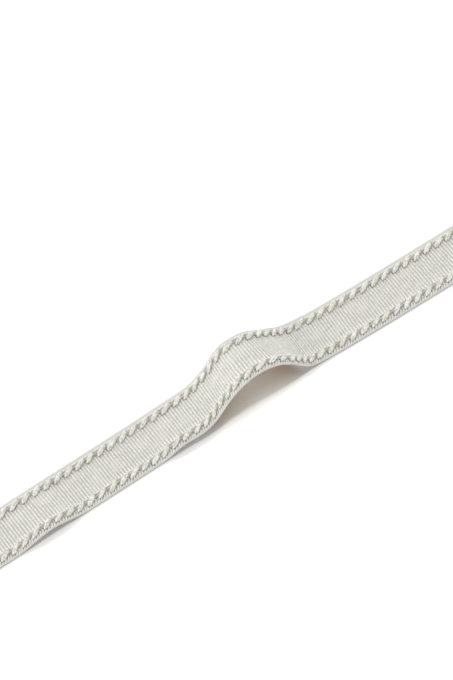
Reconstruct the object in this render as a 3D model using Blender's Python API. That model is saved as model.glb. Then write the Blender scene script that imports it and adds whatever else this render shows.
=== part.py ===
"""A cut length of furnishing braid: a cross-ribbed tape with a twisted cord along each edge.

Metres, +Z up. The trim lies along X with its underside on Z = 0 and rises in one arch near its
middle. Y runs across it, from the near edge (minus) to the far edge (plus), and the origin lies
on the floor under the middle of its outline.
"""

import math

import bmesh
import bpy
import numpy as np

MM = 0.001

# The tape
TAPE_WIDTH = 25.0 * MM
TAPE_THICKNESS = 1.5 * MM       # from the underside to the crest of a rib
RIB_PITCH = 1.52 * MM
RIB_HEIGHT = 0.45 * MM          # from the groove between two ribs to a crest
BACK_ROUNDING = 0.5 * MM        # at the tape's edges, underneath
FACE_ROUNDING = 0.9 * MM        # and on the face
EDGE_LEVEL = 0.4                # height of the outermost line, as a part of the thickness

# The bed that each cord presses into the face
BED_TOP = 1.0 * MM              # from the underside to the bed's floor
BED_FLOOR = 2.3 * MM            # width of the floor
BED_WIDTH = 4.9 * MM            # and of the whole bed, at the rib crests

# The cords, two strands each
CORD_MIDDLE = {"near": -9.15 * MM, "far": 8.9 * MM}     # from the tape's middle line
CORD_WIDTH = 4.2 * MM
CORD_HEIGHT = 1.9 * MM          # pressed flat where it is caught down
SEWN_GAP = 0.3 * MM             # from the bed up to the cord
STRANDS = 2
STRAND_LEAD = 12.1 * MM         # the length in which a strand goes once around
STRAND_SHOULDER = math.radians(40)      # half the angle that a strand's round back takes
SHOULDER_REACH = 0.8            # of the shoulders, as a part of the radius
HOLLOW_REACH = 0.36             # and of the hollow between the two strands
CORD_STEP = 1.5 * MM

# How the trim lies. Each row is one station, in mm: its place along X, the drift of the middle
# line towards the far side, and the height of the underside at the near and at the far edge.
LAY = (
    # x     drift  near  far
    (-144,   0.0,   0.0,  0.0),
    (-127,   0.0,   0.0,  0.0),
    (-107,   0.1,   4.2,  0.0),
    (-86,    0.1,   0.0,  0.0),
    (-46,    0.1,   0.0,  0.0),
    (-32,   -0.1,   4.0,  0.7),
    (-23,   -0.5,   4.4,  1.7),
    (-16,   -0.7,   7.2,  3.2),
    (-8,    -0.3,  14.0,  8.8),
    (-1,     0.2,  21.1, 16.8),
    (5,      0.3,  24.8, 21.2),
    (12,     0.0,  25.9, 21.7),
    (18,    -0.4,  24.1, 20.2),
    (25,    -0.7,  17.6, 15.3),
    (32,    -0.5,   9.1,  9.0),
    (37,    -0.3,   3.6,  4.1),
    (44,    -0.4,   0.8,  1.4),
    (56,    -1.0,   0.0,  0.0),
    (92,    -2.2,   0.0,  0.0),
    (144,   -3.2,   0.0,  0.0),
)
FINE_STEP = 0.1 * MM            # spacing at which the lie is worked out
EASING = 1.2 * MM               # spread of the rounding given to the lie

TAPE_COLOUR = (0.79, 0.78, 0.72, 1.0)
CORD_COLOUR = (0.84, 0.83, 0.77, 1.0)
YARN_ROUGHNESS = 0.85


def smooth_through(places, values, at):
    """Values at the places given of a smooth curve through the points, which never overshoots."""
    gaps = np.diff(places)
    slopes = np.diff(values) / gaps
    before, after = slopes[:-1], slopes[1:]
    turns = before * after <= 0
    weight_before = 2 * gaps[1:] + gaps[:-1]
    weight_after = gaps[1:] + 2 * gaps[:-1]
    bent = np.where(turns, 1.0, before), np.where(turns, 1.0, after)
    mean = (weight_before + weight_after) / (weight_before / bent[0] + weight_after / bent[1])
    tangents = np.zeros(len(places))
    tangents[1:-1] = np.where(turns, 0.0, mean)
    tangents[0], tangents[-1] = slopes[0], slopes[-1]
    k = np.clip(np.searchsorted(places, at, side="right") - 1, 0, len(gaps) - 1)
    t = (at - places[k]) / gaps[k]
    return (
        values[k] * (1 + 2 * t) * (1 - t) ** 2
        + values[k + 1] * t**2 * (3 - 2 * t)
        + tangents[k] * gaps[k] * t * (1 - t) ** 2
        - tangents[k + 1] * gaps[k] * t**2 * (1 - t)
    )


def eased(values):
    """The same run of values with its bends rounded."""
    reach = round(3 * EASING / FINE_STEP)
    offsets = np.arange(-reach, reach + 1) * FINE_STEP
    bell = np.exp(-0.5 * (offsets / EASING) ** 2)
    return np.convolve(np.pad(values, reach, mode="edge"), bell / bell.sum(), mode="valid")


def unit(vectors):
    return vectors / np.linalg.norm(vectors, axis=1, keepdims=True)


class Lie:
    """Where the tape lies: points and directions at any length along its underside."""

    def __init__(self):
        stations = np.array(LAY) * MM
        x = np.arange(stations[0, 0], stations[-1, 0] + FINE_STEP / 2, FINE_STEP)
        drift, near, far = (eased(smooth_through(stations[:, 0], column, x)) for column in stations[:, 1:].T)
        middle = np.stack([x, drift, (near + far) / 2], axis=1)
        forward = unit(np.gradient(middle, axis=0))
        level = unit(np.stack([-forward[:, 1], forward[:, 0], np.zeros(len(x))], axis=1))
        upright = np.cross(forward, level)
        sine = (far - near) / TAPE_WIDTH / upright[:, 2]
        across = level * np.sqrt(1 - sine**2)[:, None] + upright * sine[:, None]
        edges = np.concatenate([middle + across * side * TAPE_WIDTH / 2 for side in (-1, 1)])
        outline_middle = (edges.min(axis=0) + edges.max(axis=0)) / 2
        outline_middle[2] = 0.0
        steps = np.linalg.norm(np.diff(middle, axis=0), axis=1)
        self.run = np.concatenate([[0.0], np.cumsum(steps)])
        self.length = self.run[-1]
        self.middle = middle - outline_middle
        self.forward = forward
        self.across = across

    def at(self, lengths):
        """Middle points, and the directions across and up out of the tape, at these lengths."""
        columns = [
            np.stack([np.interp(lengths, self.run, field[:, axis]) for axis in range(3)], axis=1)
            for field in (self.middle, self.forward, self.across)
        ]
        middle, forward, across = columns[0], unit(columns[1]), unit(columns[2])
        return middle, across, unit(np.cross(forward, across))


def material(name, colour):
    made = bpy.data.materials.new(name)
    made.use_nodes = True
    shader = made.node_tree.nodes["Principled BSDF"]
    shader.inputs["Base Color"].default_value = colour
    shader.inputs["Roughness"].default_value = YARN_ROUGHNESS
    shader.inputs["Metallic"].default_value = 0.0
    made.diffuse_color = colour
    return made


def swept(name, sections, finish, collection):
    """A closed solid through rows of points, one row for each section and both ends capped."""
    rows, points = sections.shape[:2]
    bm = bmesh.new()
    bmesh.ops.create_grid(bm, x_segments=points, y_segments=rows - 1, size=0.5)
    for vert in bm.verts:
        around = round((vert.co.x + 0.5) * points) % points
        along = round((vert.co.y + 0.5) * (rows - 1))
        vert.co = sections[along, around]
    bmesh.ops.remove_doubles(bm, verts=bm.verts, dist=0.001 * MM)
    bmesh.ops.holes_fill(bm, edges=[edge for edge in bm.edges if edge.is_boundary], sides=0)
    bmesh.ops.recalc_face_normals(bm, faces=bm.faces)
    mesh = bpy.data.meshes.new(name)
    bm.to_mesh(mesh)
    bm.free()
    mesh.materials.append(finish)
    mesh.shade_smooth()
    mesh.set_sharp_from_angle(angle=math.radians(60))
    piece = bpy.data.objects.new(name, mesh)
    collection.objects.link(piece)
    return piece


def ribbed_tape(lie, collection):
    """The woven ground: crests and grooves in turn on the face, but for the beds of the cords."""
    half_ribs = 2 * round(lie.length / RIB_PITCH)
    middle, across, up = lie.at(np.linspace(0.0, lie.length, half_ribs + 1))
    groove = np.arange(half_ribs + 1) % 2 == 0
    face = TAPE_THICKNESS - RIB_HEIGHT * groove
    underneath, bed = np.zeros(len(face)), np.full(len(face), BED_TOP)
    half = TAPE_WIDTH / 2
    near_bed, far_bed = CORD_MIDDLE["near"], CORD_MIDDLE["far"]
    outline = (
        # across, height at each groove and crest
        (BACK_ROUNDING - half, underneath),
        (-half, EDGE_LEVEL * face),
        (FACE_ROUNDING - half, face),
        (near_bed - BED_FLOOR / 2, bed),
        (near_bed + BED_FLOOR / 2, bed),
        (near_bed + BED_WIDTH / 2, face),
        (far_bed - BED_WIDTH / 2, face),
        (far_bed - BED_FLOOR / 2, bed),
        (far_bed + BED_FLOOR / 2, bed),
        (half - FACE_ROUNDING, face),
        (half, EDGE_LEVEL * face),
        (half - BACK_ROUNDING, underneath),
    )
    columns = [middle + across * place + up * height[:, None] for place, height in outline]
    finish = material("undyed_cotton_rib", TAPE_COLOUR)
    return swept("ribbed_tape", np.stack(columns, axis=1), finish, collection)


def edge_cord(side, lie, collection):
    """Two strands twisted together, lying in their bed a little inside one edge."""
    steps = round(lie.length / CORD_STEP)
    lengths = np.linspace(0.0, lie.length, steps + 1)
    middle, across, up = lie.at(lengths)
    centre = middle + across * CORD_MIDDLE[side] + up * (BED_TOP + SEWN_GAP + CORD_HEIGHT / 2)
    turned = -math.tau * lengths / STRAND_LEAD
    outline = []
    for strand in range(STRANDS):
        back = math.tau * strand / STRANDS
        outline += [
            (back - STRAND_SHOULDER, SHOULDER_REACH),
            (back, 1.0),
            (back + STRAND_SHOULDER, SHOULDER_REACH),
            (back + math.pi / STRANDS, HOLLOW_REACH),
        ]
    columns = [
        centre
        + across * (part * CORD_WIDTH / 2 * np.cos(turned + angle))[:, None]
        + up * (part * CORD_HEIGHT / 2 * np.sin(turned + angle))[:, None]
        for angle, part in outline
    ]
    finish = material("undyed_cotton_cord_" + side, CORD_COLOUR)
    return swept("edge_cord_" + side, np.stack(columns, axis=1), finish, collection)


for old in list(bpy.data.objects):
    bpy.data.objects.remove(old, do_unlink=True)

parts = bpy.data.collections.new("braid_trim")
bpy.context.scene.collection.children.link(parts)

trim_lie = Lie()
ribbed_tape(trim_lie, parts)
for cord_side in ("near", "far"):
    edge_cord(cord_side, trim_lie, parts)
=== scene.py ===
"""The look of a cut length of undyed cotton braid trim: a cross-ribbed tape that rises in one arch,
with a cord of two strands stitched down along each edge, lying on a white studio floor."""

import math

import bpy
import numpy as np
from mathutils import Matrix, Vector


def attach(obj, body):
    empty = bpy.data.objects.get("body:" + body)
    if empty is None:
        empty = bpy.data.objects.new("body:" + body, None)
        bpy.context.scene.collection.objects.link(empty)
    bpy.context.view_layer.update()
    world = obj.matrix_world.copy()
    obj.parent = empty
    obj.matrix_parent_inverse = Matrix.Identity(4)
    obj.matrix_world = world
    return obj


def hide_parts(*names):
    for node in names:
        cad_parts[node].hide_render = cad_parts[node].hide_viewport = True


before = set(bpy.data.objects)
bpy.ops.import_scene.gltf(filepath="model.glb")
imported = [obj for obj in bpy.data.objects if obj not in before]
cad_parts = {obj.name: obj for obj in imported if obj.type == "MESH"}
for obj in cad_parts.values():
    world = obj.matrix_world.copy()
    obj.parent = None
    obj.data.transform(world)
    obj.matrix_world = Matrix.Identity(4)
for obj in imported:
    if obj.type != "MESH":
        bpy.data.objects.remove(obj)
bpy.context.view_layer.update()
MM = 0.001

# The view: down on the trim at 61 degrees, turned 36 degrees from straight across it, and from
# so far off that there is hardly any perspective.
AIM = Vector((15.94, 24.22, 0.0)) * MM
DISTANCE = 2945 * MM
HEADING = math.radians(36.1)
ELEVATION = math.radians(60.94)
FOCAL_LENGTH = 338.8

lens = bpy.data.cameras.new("long_lens")
lens.lens = FOCAL_LENGTH
lens.sensor_width = 36.0
lens.clip_start, lens.clip_end = 0.1, 20.0
camera = bpy.data.objects.new("camera", lens)
bpy.context.collection.objects.link(camera)
level_reach = math.cos(ELEVATION)
backwards = Vector(
    (-math.sin(HEADING) * level_reach, -math.cos(HEADING) * level_reach, math.sin(ELEVATION))
)
camera.location = AIM + backwards * DISTANCE
camera.rotation_euler = (-backwards).to_track_quat("-Z", "Y").to_euler()
bpy.context.scene.camera = camera
bpy.context.scene.view_settings.view_transform = "Standard"

# The studio: a white tent, a little brighter overhead, to the left and at the back, and a white
# floor lit from straight above, so that it is pale everywhere but in the shade under the arch.
TENT_LIGHT = 0.96
TENT_LEAN = (-0.16, 0.28, 0.2)
FLOOR_LIGHT = 1.55
FLOOR_LIGHT_FROM = Vector((0.0, 0.012, 1.0))
FLOOR_LIGHT_SPREAD = math.radians(6)
FLOOR_SIZE = 8.0
FLOOR_WHITE = (0.94, 0.94, 0.94, 1.0)
ARCH_REACH = 45 * MM
DEEP_SHADE = (0.40, 0.32, 0.255, 1.0)
OUTER_SHADE = (0.62, 0.61, 0.58, 1.0)
DEEP_TO, OUTER_FROM, OUTER_TO = 0.36, 0.60, 0.70        # part of the sky that cloth this near leaves open
EDGE_REACH = 10 * MM
EDGE_SHADE = (0.59, 0.59, 0.585, 1.0)
EDGE_FROM, EDGE_TO = 0.75, 0.98                         # the same
GAP_FROM, GAP_TO = 0.45, 0.70                           # the same, in the narrow gap under the cloth


class Shade:
    """A value within a blend, so that its sums can be written as in Python."""

    def __init__(self, blend, socket):
        self.blend = blend
        self.socket = socket

    def maths(self, operation, *values):
        return self.blend.node("ShaderNodeMath", {"operation": operation}, dict(enumerate(values)))

    def __add__(self, other):
        return self.maths("ADD", self, other)

    def __radd__(self, other):
        return self.maths("ADD", other, self)

    def __sub__(self, other):
        return self.maths("SUBTRACT", self, other)

    def __rsub__(self, other):
        return self.maths("SUBTRACT", other, self)

    def __mul__(self, other):
        return self.maths("MULTIPLY", self, other)

    def __rmul__(self, other):
        return self.maths("MULTIPLY", other, self)

    def cosine(self):
        return self.maths("COSINE", self)

    def rounded(self):
        return self.maths("ROUND", self)


class Blend:
    """The shader nodes of one light or finish, which all come from node()."""

    def __init__(self, tree):
        self.tree = tree

    def node(self, kind, settings, sockets, output=0):
        made = self.tree.nodes.new(kind)
        for key, value in settings.items():
            setattr(made, key, value)
        for key, value in sockets.items():
            self.feed(made.inputs[key], value)
        return Shade(self, made.outputs[output])

    def feed(self, socket, value):
        if isinstance(value, Shade):
            self.tree.links.new(value.socket, socket)
        else:
            socket.default_value = value

    def vector(self, x, y, z):
        return self.node("ShaderNodeCombineXYZ", {}, {0: x, 1: y, 2: z})

    def between(self, low, high, value):
        """0 on the outer side of low, 1 on that of high, whichever is larger, and smooth between."""
        settings = {"interpolation_type": "SMOOTHSTEP"}
        return self.node("ShaderNodeMapRange", settings, {"Value": value, "From Min": low, "From Max": high})

    def mixed(self, first, second, part):
        return self.node("ShaderNodeMix", {"data_type": "RGBA"}, {0: part, 6: first, 7: second}, 2)


class Finish(Blend):
    """A matt material with one Principled shader."""

    def __init__(self, name, colour, roughness, sheen):
        self.made = bpy.data.materials.new(name)
        self.made.use_nodes = True
        self.made.diffuse_color = colour
        super().__init__(self.made.node_tree)
        self.sockets = self.tree.nodes["Principled BSDF"].inputs
        self.sockets["Base Color"].default_value = colour
        self.sockets["Roughness"].default_value = roughness
        self.sockets["Sheen Weight"].default_value = sheen
        self.sockets["Sheen Roughness"].default_value = 0.6
        self.sockets["Specular IOR Level"].default_value = 0.2

    def kept(self, name):
        """The three values kept on the mesh's points under this name."""
        vector = self.node("ShaderNodeAttribute", {"attribute_name": name}, {}, "Vector")
        return [self.node("ShaderNodeSeparateXYZ", {}, {0: vector}, axis) for axis in "XYZ"]

    def noise(self, x, y, z, detail):
        sockets = {"Vector": self.vector(x, y, z), "Scale": 1.0, "Detail": detail}
        return self.node("ShaderNodeTexNoise", {}, sockets)

    def raise_by(self, height, distance):
        bump = self.node("ShaderNodeBump", {}, {"Height": height, "Distance": distance})
        self.feed(self.sockets["Normal"], bump)


world = bpy.data.worlds.new("light_tent")
world.use_nodes = True
tent = Blend(world.node_tree)
direction = tent.node("ShaderNodeTexCoord", {}, {}, "Generated")
lean = tent.node("ShaderNodeVectorMath", {"operation": "DOT_PRODUCT"}, {0: direction, 1: TENT_LEAN}, "Value")
background = world.node_tree.nodes["Background"].inputs
background["Color"].default_value = (1.0, 1.0, 1.0, 1.0)
tent.feed(background["Strength"], TENT_LIGHT * (1 + lean))
bpy.context.scene.world = world

bpy.ops.object.select_all(action="DESELECT")
bpy.ops.mesh.primitive_plane_add(size=FLOOR_SIZE)
floor = bpy.context.object
floor.name = "studio_floor"
bpy.ops.object.select_all(action="DESELECT")

# White under open sky, and painted shade where the cloth blocks the sky: a plain grey close beside
# the cloth and at the outer rim of the arch's shade, and warmer and deeper inward, where only the
# cloth's own light comes. Where the gap under the cloth is narrow, the painted shade is plain grey again.
floor_finish = Finish("white_floor", FLOOR_WHITE, 1.0, 0.0)
open_sky = floor_finish.node("ShaderNodeAmbientOcclusion", {}, {"Distance": ARCH_REACH}, "AO")
clear = floor_finish.node("ShaderNodeAmbientOcclusion", {}, {"Distance": EDGE_REACH}, "AO")
tone = floor_finish.mixed(OUTER_SHADE, FLOOR_WHITE, floor_finish.between(OUTER_FROM, OUTER_TO, open_sky))
tone = floor_finish.mixed(EDGE_SHADE, tone, floor_finish.between(EDGE_FROM, EDGE_TO, clear))
deep_tone = floor_finish.mixed(EDGE_SHADE, DEEP_SHADE, floor_finish.between(GAP_FROM, GAP_TO, clear))
tone = floor_finish.mixed(deep_tone, tone, floor_finish.between(DEEP_TO, OUTER_FROM, open_sky))
floor_finish.feed(floor_finish.sockets["Base Color"], tone)
floor.data.materials.append(floor_finish.made)

overhead_light = bpy.data.lights.new("floor_lamp", "SUN")
overhead_light.energy = FLOOR_LIGHT
overhead_light.angle = FLOOR_LIGHT_SPREAD
overhead = bpy.data.objects.new("floor_lamp", overhead_light)
overhead.rotation_euler = FLOOR_LIGHT_FROM.to_track_quat("Z", "Y").to_euler()
bpy.context.collection.objects.link(overhead)
lit_from_above = bpy.data.collections.new("lit_by_floor_lamp")
lit_from_above.objects.link(floor)
overhead.light_linking.receiver_collection = lit_from_above

# How the trim lies. Each row is one station, in mm: its place along X, the drift of the middle
# line towards the far side, and the height of the underside at the near and at the far edge.
TAPE_WIDTH = 25.0 * MM
LAY = (
    # x     drift  near  far
    (-144,   0.0,   0.0,  0.0),
    (-127,   0.0,   0.0,  0.0),
    (-107,   0.1,   4.2,  0.0),
    (-86,    0.1,   0.0,  0.0),
    (-46,    0.1,   0.0,  0.0),
    (-32,   -0.1,   4.0,  0.7),
    (-23,   -0.5,   4.4,  1.7),
    (-16,   -0.7,   7.2,  3.2),
    (-8,    -0.3,  14.0,  8.8),
    (-1,     0.2,  21.1, 16.8),
    (5,      0.3,  24.8, 21.2),
    (12,     0.0,  25.9, 21.7),
    (18,    -0.4,  24.1, 20.2),
    (25,    -0.7,  17.6, 15.3),
    (32,    -0.5,   9.1,  9.0),
    (37,    -0.3,   3.6,  4.1),
    (44,    -0.4,   0.8,  1.4),
    (56,    -1.0,   0.0,  0.0),
    (92,    -2.2,   0.0,  0.0),
    (144,   -3.2,   0.0,  0.0),
)
FINE_STEP = 0.1 * MM            # spacing at which the lie is worked out
EASING = 1.2 * MM               # spread of the rounding given to the lie


def smooth_through(places, values, at):
    """Values at the places given of a smooth curve through the points, which never overshoots."""
    gaps = np.diff(places)
    slopes = np.diff(values) / gaps
    before, after = slopes[:-1], slopes[1:]
    turns = before * after <= 0
    weight_before = 2 * gaps[1:] + gaps[:-1]
    weight_after = gaps[1:] + 2 * gaps[:-1]
    bent = np.where(turns, 1.0, before), np.where(turns, 1.0, after)
    mean = (weight_before + weight_after) / (weight_before / bent[0] + weight_after / bent[1])
    tangents = np.zeros(len(places))
    tangents[1:-1] = np.where(turns, 0.0, mean)
    tangents[0], tangents[-1] = slopes[0], slopes[-1]
    k = np.clip(np.searchsorted(places, at, side="right") - 1, 0, len(gaps) - 1)
    t = (at - places[k]) / gaps[k]
    return (
        values[k] * (1 + 2 * t) * (1 - t) ** 2
        + values[k + 1] * t**2 * (3 - 2 * t)
        + tangents[k] * gaps[k] * t * (1 - t) ** 2
        - tangents[k + 1] * gaps[k] * t**2 * (1 - t)
    )


def eased(values):
    """The same run of values with its bends rounded."""
    reach = round(3 * EASING / FINE_STEP)
    offsets = np.arange(-reach, reach + 1) * FINE_STEP
    bell = np.exp(-0.5 * (offsets / EASING) ** 2)
    return np.convolve(np.pad(values, reach, mode="edge"), bell / bell.sum(), mode="valid")


def unit(vectors):
    return vectors / np.linalg.norm(vectors, axis=-1, keepdims=True)


class Lie:
    """Where the tape lies: points and directions at any length along its underside."""

    def __init__(self):
        stations = np.array(LAY) * MM
        x = np.arange(stations[0, 0], stations[-1, 0] + FINE_STEP / 2, FINE_STEP)
        drift, near, far = (eased(smooth_through(stations[:, 0], column, x)) for column in stations[:, 1:].T)
        middle = np.stack([x, drift, (near + far) / 2], axis=1)
        forward = unit(np.gradient(middle, axis=0))
        level = unit(np.stack([-forward[:, 1], forward[:, 0], np.zeros(len(x))], axis=1))
        upright = np.cross(forward, level)
        sine = (far - near) / TAPE_WIDTH / upright[:, 2]
        across = level * np.sqrt(1 - sine**2)[:, None] + upright * sine[:, None]
        edges = np.concatenate([middle + across * side * TAPE_WIDTH / 2 for side in (-1, 1)])
        outline_middle = (edges.min(axis=0) + edges.max(axis=0)) / 2
        outline_middle[2] = 0.0
        steps = np.linalg.norm(np.diff(middle, axis=0), axis=1)
        self.run = np.concatenate([[0.0], np.cumsum(steps)])
        self.length = self.run[-1]
        self.middle = middle - outline_middle
        self.forward = forward
        self.across = across

    def at(self, lengths):
        """Middle points, and the directions across and up out of the tape, at these lengths."""
        columns = [
            np.stack([np.interp(lengths, self.run, field[:, axis]) for axis in range(3)], axis=-1)
            for field in (self.middle, self.forward, self.across)
        ]
        middle, forward, across = columns[0], unit(columns[1]), unit(columns[2])
        return middle, across, unit(np.cross(forward, across))

    def place(self, lengths, sideways, heights):
        """The points at these lengths, distances across from the middle line and heights."""
        middle, across, up = self.at(lengths)
        return middle + across * sideways[..., None] + up * heights[..., None]


lie = Lie()

# The woven ground: a cotton rep tape. Thick wefts lie side by side across it as ribs, fine warps
# run lengthwise over and under them and cover them, and each weft turns back at the self edge.
TAPE_THICKNESS = 1.5 * MM
RIB_PITCH = 1.52 * MM
RIB_HEIGHT = 0.5 * MM
BACK_RIB_HEIGHT = 0.22 * MM
EDGE_ROUNDING = 0.7 * MM
EDGE_SQUARENESS = 0.7           # 1 gives a half round edge, less a squarer one
SELF_EDGE = 10.4 * MM           # where the ribs begin to slant, measured from the middle line
SELF_EDGE_SLANT = 0.6           # how far along they go in each mm outwards, in mm
RIB_END_SHIFT = 0.4             # how unevenly the ribs end at the near self edge, in mm
RIB_UNEVENNESS = 0.25           # how much one rib's height differs from the next
SELF_EDGE_RELIEF = (
    # across in mm, part of a rib's height
    (-12.6, 0.5),
    (-12.0, 1.1),
    (-10.8, 1.35),
    (-9.8,  1.1),
    (9.8,   1.0),
    (10.6,  0.15),
    (12.0,  0.0),
)
CORD_MIDDLE = {"near": -9.15 * MM, "far": 8.9 * MM}
PAINTED_LIGHT_AND_SHADE_BY_CORD = (
    # across, spread, how much paler with painted light, or darker with painted shadow where the cord shades
    # the ribs
    (-11.5, 0.6,  1.0),
    (-11.0, 0.4, -0.2),
    (-6.6,  0.8,  1.0),
    (7.0,   0.4, -0.3),
)
RIM_NEAR = (11.6, 0.5)          # in mm, from where and in what width shade is painted on the self edge's rounded rim
RIM_FAR = (10.8, 0.6)
RIM_LEVEL = -0.9                # how far round the edge, from 1 on the face to -1 on the back
BACK_SHADE = 0.5                # of a groove's on the face
STEPS_A_RIB = 6
FIELD_HALF = 6.6 * MM           # the plain field between the cords, which takes fewer points
FIELD_COLUMNS, MARGIN_COLUMNS, BACK_COLUMNS, EDGE_COLUMNS = 13, 16, 15, 5
RIB_LEAN = (
    # length  lean in degrees of a rib from square across
    (0,    2.2),
    (27,   1.9),
    (66,   0.6),
    (106, -0.5),
    (165,  0.0),
    (231,  1.3),
    (282, -2.3),
    (304, -2.6),
)
LEAN_FADE = 8 * MM              # this near to a cut end, the ribs come square again
RIB_WAVINESS = 0.06 * MM
WAVES = (
    # length of a wave across the tape over 2 pi, and length along it in which the waves drift
    (1.1 * MM, 2.3 * MM),
    (0.5 * MM, 1.6 * MM),
)
WAVE_DRIFT = 6.0                # in radians
YARN_ROUGHNESS, YARN_SHEEN = 0.9, 0.15
COTTON = (0.80, 0.795, 0.745, 1.0)
# A painted highlight.
COTTON_HIGHLIGHT = (0.90, 0.895, 0.85, 1.0)
# Painted shade for the grooves, the grain's low spots and the cords' shadows, also the tone of duller single
# ribs.
COTTON_SHADE_AND_DULL_RIBS = (0.50, 0.495, 0.45, 1.0)
COTTON_PINKER = (0.81, 0.775, 0.72, 1.0)
COTTON_GREENER = (0.775, 0.785, 0.70, 1.0)
# Painted light beside the cords.
COTTON_LIT_BESIDE_CORD = (0.89, 0.885, 0.84, 1.0)
# Painted shade on the rim, and darker painted shade where it turns under.
COTTON_SHADED_AT_RIM = (0.66, 0.655, 0.615, 1.0)
COTTON_SHADED_UNDER_RIM = (0.45, 0.43, 0.38, 1.0)
FIBRE_RELIEF = 0.07 * MM
SOFT_BENDS = math.radians(75)   # sharper ones show as edges
STITCH_REACH = 0.4 * MM         # half the width of the stitching on the back
WARP_SPACING = 0.4 * MM


def ripple(source, size, spread, at):
    """A smooth, random run of values about zero, with bends about as far apart as the spread."""
    knots = np.arange(at.min() - 2 * spread, at.max() + 3 * spread, spread)
    return size * smooth_through(knots, source.uniform(-1.0, 1.0, len(knots)), at)


def skinned(name, rings, kept, finish):
    """A riding piece that is one closed tube through rows of rings, with values kept on its points."""
    count, around = rings.shape[:2]
    ring = np.arange(around)
    ahead = (ring + 1) % around
    start = np.arange(count - 1)[:, None] * around
    quads = [start + ring, start + ahead, start + around + ahead, start + around + ring]
    faces = np.stack(quads, axis=-1).reshape(-1, 4).tolist()
    faces.append(list(range(around - 1, -1, -1)))
    faces.append(list(range((count - 1) * around, count * around)))
    mesh = bpy.data.meshes.new(name)
    mesh.from_pydata(rings.reshape(-1, 3).tolist(), [], faces)
    for key, values in kept.items():
        values = np.ascontiguousarray(values, np.float32).ravel()
        mesh.attributes.new(key, "FLOAT_VECTOR", "POINT").data.foreach_set("vector", values)
    mesh.materials.append(finish.made)
    piece = bpy.data.objects.new(name, mesh)
    bpy.context.collection.objects.link(piece)
    bpy.ops.object.select_all(action="DESELECT")
    piece.select_set(True)
    bpy.context.view_layer.objects.active = piece
    bpy.ops.object.shade_smooth_by_angle(angle=SOFT_BENDS)
    bpy.ops.object.select_all(action="DESELECT")
    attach(piece, "root")
    return piece


# Sections along the tape, and the closed outline of each: face, far edge, back, near edge.
weaving = np.random.default_rng(3)
ribs = round(lie.length / RIB_PITCH)
rib_pitch = lie.length / ribs
lengths = np.linspace(0.0, lie.length, ribs * STEPS_A_RIB + 1)
flat_half = TAPE_WIDTH / 2 - EDGE_ROUNDING
turn = np.linspace(0, math.pi, EDGE_COLUMNS + 2)[1:-1]
edge = flat_half + EDGE_ROUNDING * np.sin(turn) ** EDGE_SQUARENESS
edge_level = np.sign(np.cos(turn)) * np.abs(np.cos(turn)) ** EDGE_SQUARENESS
margin = np.linspace(flat_half, FIELD_HALF, MARGIN_COLUMNS, endpoint=False)
face = np.concatenate([-margin, np.linspace(-FIELD_HALF, FIELD_HALF, FIELD_COLUMNS), margin[::-1]])
back = np.linspace(flat_half, -flat_half, BACK_COLUMNS)
sideways = np.concatenate([face, edge, back, -edge])
level = np.concatenate([np.ones(len(face)), edge_level, -np.ones(len(back)), -edge_level])
s, v = np.meshgrid(lengths, sideways, indexing="ij")
level = np.broadcast_to(level, s.shape)
rib_lean = np.array(RIB_LEAN)
rib_lean = np.tan(np.radians(np.interp(lengths / MM, rib_lean[:, 0], rib_lean[:, 1])))[:, None]
fade = np.clip(np.minimum(lengths, lie.length - lengths) / LEAN_FADE, 0.0, 1.0)[:, None]
slant = np.sign(v) * np.maximum(np.abs(v) - SELF_EDGE, 0.0) * SELF_EDGE_SLANT
waves = RIB_WAVINESS * sum(
    np.sin(v / size + ripple(weaving, WAVE_DRIFT, spread, lengths)[:, None]) for size, spread in WAVES
)
phase = (s - (v * rib_lean + slant + waves) * fade) / rib_pitch
crest = 0.5 + 0.5 * np.cos(2 * math.pi * phase + math.pi)
rib_number = np.clip(np.floor(phase).astype(int), 0, ribs - 1)
ends_at = RIB_END_SHIFT * weaving.uniform(-1.0, 1.0, ribs)[rib_number]
standing = 1 - RIB_UNEVENNESS * weaving.uniform(0.0, 1.0, ribs)[rib_number]
relief = np.array(SELF_EDGE_RELIEF)
relief = np.interp(v / MM + np.where(v < 0, ends_at, 0.0), relief[:, 0], relief[:, 1])
deep = relief * (1 - crest * standing)
stitching = sum(np.exp(-(((v - middle) / STITCH_REACH) ** 2)) for middle in CORD_MIDDLE.values())
back_depth = (1 - crest) * (1 - stitching)
sunk = level * np.where(level > 0, RIB_HEIGHT * deep, BACK_RIB_HEIGHT * back_depth)
heights = TAPE_THICKNESS / 2 * (1 + level) - sunk

# What the finish reads from the mesh, and the finish: painted shade in the grooves, a random grain
# with a painted highlight on the crests and painted shade in its low spots, duller single ribs, pink
# and green patches, painted light and shade on the ribs beside the cords, and painted shade on the rim.
# Where shade is painted on the self edge's rim.
out_past_near = (-v / MM - RIM_NEAR[0]) / RIM_NEAR[1]
out_past_far = (v / MM - RIM_FAR[0]) / RIM_FAR[1]
rim_shade = np.clip(np.where(v < 0, out_past_near, out_past_far), 0.0, 1.0) * (level > RIM_LEVEL)
# Where light and shadow are painted by the cords.
light_and_shade_by_cord = sum(size * np.exp(-(((v / MM - at) / spread) ** 2)) for at, spread, size in PAINTED_LIGHT_AND_SHADE_BY_CORD)
light_and_shade_by_cord = np.where(level > 0, light_and_shade_by_cord, 0.0)
# Where shade is painted in the grooves, on the face and on the back.
groove = np.where(level > 0, deep, BACK_SHADE * back_depth)
kept = {
    "weave": np.stack([phase, v / MM, level], axis=-1),
    "lie": np.stack([groove, rim_shade, light_and_shade_by_cord], axis=-1),
}

tape_finish = Finish("cotton_rep", COTTON, YARN_ROUGHNESS, YARN_SHEEN)
rib_phase, v_mm, side = tape_finish.kept("weave")
depth, rim, beside = tape_finish.kept("lie")
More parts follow.
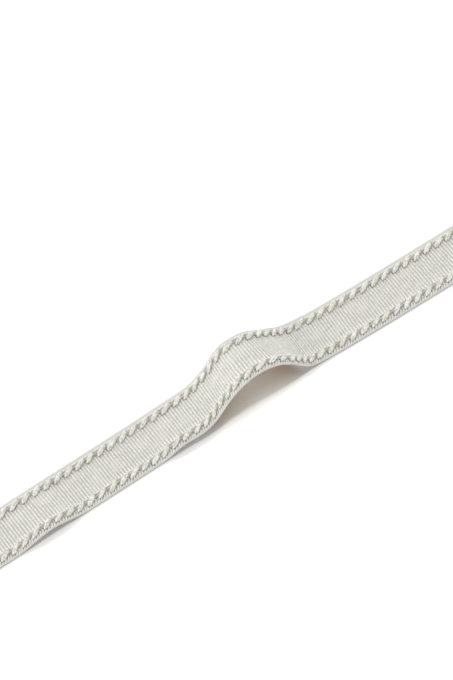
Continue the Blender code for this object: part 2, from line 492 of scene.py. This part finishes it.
# Each noise is given how fast it changes from rib to rib, in each mm across and from face to back,
# and its detail. Each line for the tone then turns it towards one colour, by a strength times how
# far a value has come from one number to the other.
warps = (v_mm * (math.tau / (WARP_SPACING / MM)) + rib_phase.rounded() * math.pi).cosine()
fibres = tape_finish.noise(rib_phase * 3.0, v_mm * 4.0, side, 3.0)
grain = tape_finish.noise(rib_phase * 1.6, v_mm * 1.5, side * 5.0, 2.0)
streaks = tape_finish.noise(rib_phase.rounded() * 7.3, v_mm * 0.25, side, 1.0)
patches = tape_finish.noise(rib_phase * 0.12, v_mm * 0.12, side, 1.0)
# Painted shade in the grooves.
tone = tape_finish.mixed(COTTON, COTTON_SHADE_AND_DULL_RIBS, tape_finish.between(0.35, 1.0, depth))
# A painted highlight where the random grain stands up on the crests, painted shade in its low spots, and
# duller single ribs at random.
tone = tape_finish.mixed(tone, COTTON_HIGHLIGHT, (1 - depth) * tape_finish.between(0.5, 0.65, grain))
tone = tape_finish.mixed(tone, COTTON_SHADE_AND_DULL_RIBS, 0.5 * tape_finish.between(0.5, 0.35, grain))
tone = tape_finish.mixed(tone, COTTON_SHADE_AND_DULL_RIBS, 0.25 * tape_finish.between(0.55, 0.3, streaks))
# Painted light on the ribs beside the cords and on the ticks of the near self edge, and painted shadow where
# the cords shade the ribs.
tone = tape_finish.mixed(tone, COTTON_LIT_BESIDE_CORD, beside * tape_finish.between(1.0, 0.4, depth))
tone = tape_finish.mixed(tone, COTTON_SHADE_AND_DULL_RIBS, beside * -0.6)
tone = tape_finish.mixed(tone, COTTON_PINKER, 0.3 * tape_finish.between(0.5, 0.7, patches))
tone = tape_finish.mixed(tone, COTTON_GREENER, 0.3 * tape_finish.between(0.5, 0.3, patches))
# Painted shade on the rim, darker where it turns under towards the floor.
tone = tape_finish.mixed(tone, COTTON_SHADED_AT_RIM, rim)
tone = tape_finish.mixed(tone, COTTON_SHADED_UNDER_RIM, rim * tape_finish.between(0.7, -0.3, side))
tape_finish.feed(tape_finish.sockets["Base Color"], tone)
tape_finish.raise_by(warps * (1 - depth) * 0.4 + fibres + grain, FIBRE_RELIEF)

tape = skinned("ribbed_braid_tape", lie.place(s, v, heights), kept, tape_finish)
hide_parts("ribbed_tape")

# The edge cords: each is two soft cotton strands laid up together and caught down with stitches,
# which draw it halfway into the ribs. The strands cross over in turn, so that the cord shows as a
# row of slanting lobes, with the strand that passes beneath them in the gaps of its far half.
LOBE_SPACING = 6.05 * MM        # half the length in which a strand goes once around
FIRST_LOBE = 1.0 * MM
LOBE_LENGTH, LOBE_BREADTH = 3.8 * MM, 1.3 * MM          # half of each
LOBE_BLUNTNESS = 2.5            # 2 gives a lobe the ends of an ellipse, more blunter ones
LOBE_MIDDLE = 0.15 * MM         # across from the cord's middle
LOBE_SLOPE = math.radians(30)
LOBE_SEAT = 1.3 * MM            # from the tape's underside
LOBE_HEIGHT = 1.7 * MM
SLOPE_SPREAD = 0.07             # how much one lobe differs from the next, in radians
PLACE_SPREAD, SIDE_SPREAD = 0.3 * MM, 0.12 * MM
SIZE_SPREAD, HEIGHT_SPREAD = 0.07, 0.08
CREASE_REACH, CREASE_DEPTH = 0.8 * MM, 0.5 * MM         # where one lobe meets the next
CREASE_SHADE, FURROW_SHADE = 0.95, 0.5
BELLY_FROM = 1.2                # in mm from a lobe's middle towards the near side
BELLY_FADE = 1 / 3              # of half a lobe's length, in which the belly begins
HEAD_FROM, HEAD_TO = -0.6, -0.8                         # where its head with the painted highlight is, in the same measure
UNDER_MIDDLE, UNDER_HALF = 0.7 * MM, 1.3 * MM           # the strand beneath, from the cord's middle
UNDER_HEIGHT = 0.75 * MM
UNDER_SHADE = 0.25              # how full it looks, where a lobe's crest is 1
FLANK_FROM, FLANK_REACH = 1.17 * MM, 0.6 * MM           # its far flank, which catches the light
FLANK_LIGHT = 0.8
CORD_FOOT = 0.7 * MM            # how low the cord goes inside the tape
CORD_INSIDE = 0.2 * MM          # its foot is this thick, and its ends this far inside the tape's
CORD_END = 0.9 * MM             # length of the rounding at a cut end
CORD_HALF = 2.75 * MM           # the reach of its face, hidden margins and all
CORD_SHOWS = 0.3 * MM           # height over the seat at which a strand comes out in full
FOOT_PLACES = np.array([1.2, 0.0, -1.2]) * MM
YARN_BUMP = 0.13 * MM
YARN_SPACING = 1.1 * MM
YARN_SLANT = -0.2               # how far a yarn goes across its strand in each mm along it
YARN_RELIEF = 0.22 * MM
TUFTS = ((1.1 * MM, 0.16 * MM), (0.5 * MM, 0.10 * MM))  # spacing and size of the yarns' lumps
CORD_STEP = 0.22 * MM
CORD_COLUMNS = 42
CORD_COTTON = (0.74, 0.73, 0.67, 1.0)
# A painted highlight.
CORD_HIGHLIGHT = (0.93, 0.925, 0.87, 1.0)
# Painted shade.
CORD_SHADE = (0.34, 0.33, 0.28, 1.0)
CORD_YELLOWER = (0.74, 0.74, 0.60, 1.0)
CORD_PINKER = (0.76, 0.71, 0.66, 1.0)


def mottle(source, spacing, along, across):
    """A smooth, random field of values from -1 to 1, with bends about as far apart as the spacing."""
    rows = (along - along.min()) / spacing
    columns = (across - across.min()) / spacing
    coarse = source.uniform(-1.0, 1.0, (int(rows.max()) + 2, int(columns.max()) + 2))
    row, column = rows.astype(int), columns.astype(int)
    down, over = (part * part * (3 - 2 * part) for part in (rows - row, columns - column))
    first = coarse[row, column] * (1 - over) + coarse[row, column + 1] * over
    second = coarse[row + 1, column] * (1 - over) + coarse[row + 1, column + 1] * over
    return first * (1 - down) + second * down


def strands(source, s, w):
    """Heights of a cord's strands over their seat at lengths s and distances w across from its middle.

    With them come how far each shows, and for the finish how full, tinted and low a strand is, and
    how far along and across its own strand a point lies. Where a strand is less full, in creases,
    furrows and on the strand beneath, painted shade darkens it. Low is 1 and more on a lobe's belly,
    where shade is painted, and less than -1 on its head, where a highlight is painted.
    """
    under = np.sqrt(np.clip(1 - ((w - UNDER_MIDDLE) / UNDER_HALF) ** 2, 0.0, 1.0))
    height = UNDER_HEIGHT * under
    full = UNDER_SHADE * under + FLANK_LIGHT * np.clip((w - FLANK_FROM) / FLANK_REACH, 0.0, 1.0)
    tint, low = np.full(s.shape, 0.5), np.zeros(s.shape)
    along, across = s, w
    highest, second = np.zeros(s.shape), np.zeros(s.shape)
    for lobe in range(-1, round(lie.length / LOBE_SPACING) + 2):
        jitter = source.uniform(-1.0, 1.0, 7)
        slope = LOBE_SLOPE + SLOPE_SPREAD * jitter[0]
        ahead = s - FIRST_LOBE - LOBE_SPACING * lobe - PLACE_SPREAD * jitter[1]
        aside = w - LOBE_MIDDLE - SIDE_SPREAD * jitter[2]
        onwards = ahead * math.cos(slope) + aside * math.sin(slope)
        outwards = aside * math.cos(slope) - ahead * math.sin(slope)
        part = onwards / LOBE_LENGTH / (1 + SIZE_SPREAD * jitter[3])
        flank = outwards / LOBE_BREADTH / (1 + SIZE_SPREAD * jitter[4])
        swell = np.sqrt(np.clip(1 - np.abs(part) ** LOBE_BLUNTNESS - flank**2, 0.0, 1.0))
        raised = LOBE_HEIGHT * (1 + HEIGHT_SPREAD * jitter[5]) * swell
        belly = np.clip(-aside / MM - BELLY_FROM, 0.0, 1.0) - flank
        belly *= np.clip((1 + part) / BELLY_FADE, 0.0, 1.0)
        head = np.clip((HEAD_FROM - part) / (HEAD_FROM - HEAD_TO), 0.0, 1.0)
        second = np.maximum(second, np.minimum(highest, raised))
        highest = np.maximum(highest, raised)
        on_top = raised > height
        height = np.where(on_top, raised, height)
        full = np.where(on_top, swell, full)
        tint = np.where(on_top, 0.5 + 0.5 * jitter[6], tint)
        low = np.where(on_top, belly - 2 * head, low)
        along = np.where(on_top, onwards, along)
        across = np.where(on_top, outwards, across)
    crease = np.where(second > 0, 1 - np.clip((highest - second) / CREASE_REACH, 0.0, 1.0), 0.0)
    furrow = (1 - np.abs(np.sin(math.pi * (across + YARN_SLANT * along) / YARN_SPACING))) ** 2
    full = full * (1 - CREASE_SHADE * crease) - FURROW_SHADE * furrow
    shown = np.clip(height / CORD_SHOWS, 0.0, 1.0)
    lumps = sum(size * mottle(source, spacing, s, w) for spacing, size in TUFTS)
    height = height + lumps - YARN_RELIEF * furrow - CREASE_DEPTH * crease**2
    return height, shown, np.stack([full, tint, low], axis=-1), np.stack([along, across], axis=-1)


def cord_tube(source, side):
    """Rings round one cord, with what its finish needs to know at each of their points."""
    lengths = np.linspace(CORD_INSIDE, lie.length - CORD_INSIDE, round(lie.length / CORD_STEP) + 1)
    s, w = np.meshgrid(lengths, np.linspace(-CORD_HALF, CORD_HALF, CORD_COLUMNS), indexing="ij")
    height, shown, look, own_place = strands(source, s, w)
    to_end = (np.minimum(s, lie.length - s) - CORD_INSIDE) / CORD_END
    rounded = np.sqrt(1 - np.clip(1 - to_end, 0.0, 1.0) ** 2)
    top = CORD_FOOT + (LOBE_SEAT - CORD_FOOT + height) * shown * rounded
    foot_w = np.broadcast_to(FOOT_PLACES, (len(s), len(FOOT_PLACES)))
    foot = np.full(foot_w.shape, CORD_FOOT - CORD_INSIDE)
    s = np.concatenate([s, s[:, : len(FOOT_PLACES)]], axis=1)
    w = np.concatenate([w, foot_w], axis=1)
    points = lie.place(s, CORD_MIDDLE[side] + w, np.concatenate([top, foot], axis=1))
    lay, place = np.zeros(points.shape), np.zeros(points.shape)
    lay[:, :CORD_COLUMNS] = look
    place[:, :CORD_COLUMNS] = np.concatenate([own_place, top[..., None]], axis=-1) / MM
    return points, {"lay": lay, "place": place}


for cord_side, seed in (("near", 11), ("far", 12)):
    cord_finish = Finish("cotton_cord_" + cord_side, CORD_COTTON, YARN_ROUGHNESS, YARN_SHEEN)
    full, tint, low = cord_finish.kept("lay")
    along, across, up = cord_finish.kept("place")
    hairs = cord_finish.noise(along * 1.5, across * 7.0, tint * 50.0, 3.0)
    grain = cord_finish.noise(along * 0.8, across * 1.4, up * 1.2 + tint * 50.0, 2.0)
    # Painted highlights where the grain stands up and on each lobe's head, painted shade in the grain's low
    # spots, on each lobe's belly and where a strand is less full, in creases, furrows and on the strand
    # beneath; yellower and pinker lobes at random.
    tone = cord_finish.mixed(CORD_COTTON, CORD_HIGHLIGHT, cord_finish.between(0.48, 0.6, grain))
    tone = cord_finish.mixed(tone, CORD_YELLOWER, 0.6 * cord_finish.between(0.6, 1.0, tint))
    tone = cord_finish.mixed(tone, CORD_PINKER, 0.6 * cord_finish.between(0.4, 0.0, tint))
    tone = cord_finish.mixed(tone, CORD_SHADE, 0.4 * cord_finish.between(0.48, 0.38, grain))
    tone = cord_finish.mixed(tone, CORD_HIGHLIGHT, 0.8 * cord_finish.between(-1.2, -2.0, low))
    tone = cord_finish.mixed(tone, CORD_SHADE, 0.2 * cord_finish.between(0.8, 1.8, low))
    tone = cord_finish.mixed(CORD_SHADE, tone, cord_finish.between(-0.05, 0.55, full))
    cord_finish.feed(cord_finish.sockets["Base Color"], tone)
    cord_finish.raise_by(hairs + grain * 2.0, YARN_BUMP)
    rings, kept = cord_tube(np.random.default_rng(seed), cord_side)
    cord = skinned("edge_cord_strands_" + cord_side, rings, kept, cord_finish)
    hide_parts("edge_cord_" + cord_side)
